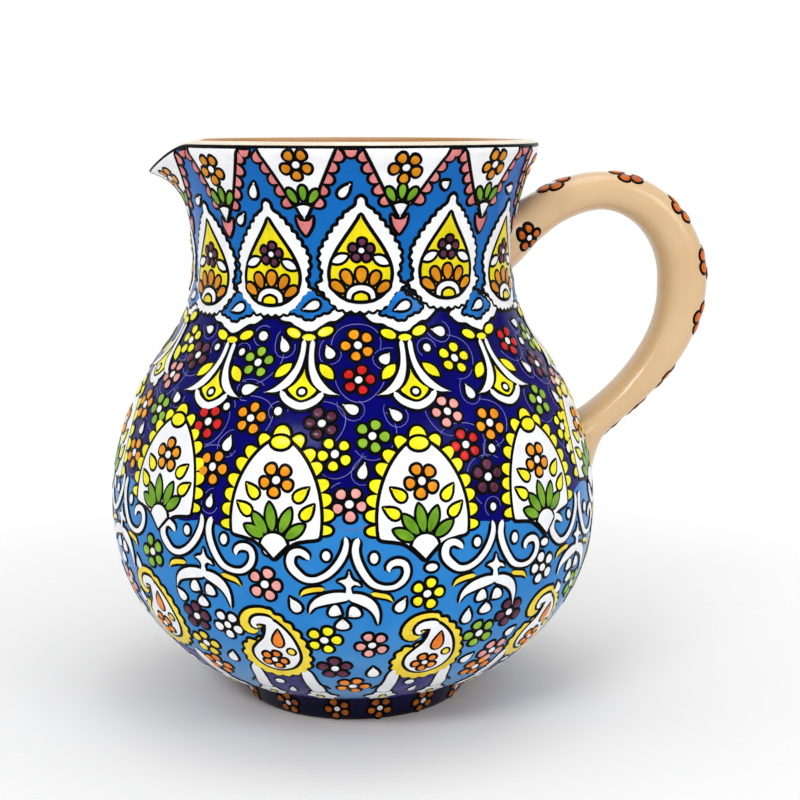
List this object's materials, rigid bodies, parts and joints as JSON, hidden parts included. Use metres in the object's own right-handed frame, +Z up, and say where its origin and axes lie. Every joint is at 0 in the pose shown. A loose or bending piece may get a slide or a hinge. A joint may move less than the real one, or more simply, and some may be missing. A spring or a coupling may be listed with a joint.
{
  "type": "pitcher",
  "caption": "Round-bellied painted earthenware pitcher with a flaring neck, a drooping pouring lip, a looped strap handle and raised floral enamel on blue grounds.",
  "frame": {"origin": "centre of the foot, on the plane that the jug stands on", "axes": "+Z up along the jug's axis, +X towards the handle, -X towards the pouring lip"},
  "size_m": [0.2376, 0.1912, 0.22],
  "materials": {
    "clay": "matt fired clay",
    "cream_glaze": "glossy cream-tan glaze",
    "tan_glaze": "glossy tan-brown glaze",
    "cobalt_enamel": "glossy enamel",
    "mid_blue_enamel": "glossy enamel",
    "sky_blue_enamel": "glossy enamel",
    "white_enamel": "glossy enamel"
  },
  "bodies": {
    "root": {"foot_ring": "clay", "floor_disc": "clay", "lower_belly": "clay", "upper_belly": "clay", "neck_collar": "clay", "rim_band": "cream_glaze", "pouring_lip": "cream_glaze", "handle": "cream_glaze", "upper_pad": "cream_glaze", "lower_pad": "cream_glaze", "lining_glaze": "tan_glaze", "foot_enamel": "cobalt_enamel", "belly_enamel": "mid_blue_enamel", "shoulder_enamel": "cobalt_enamel", "neck_enamel": "sky_blue_enamel", "lip_enamel": "white_enamel"}
  },
  "joints": []
}
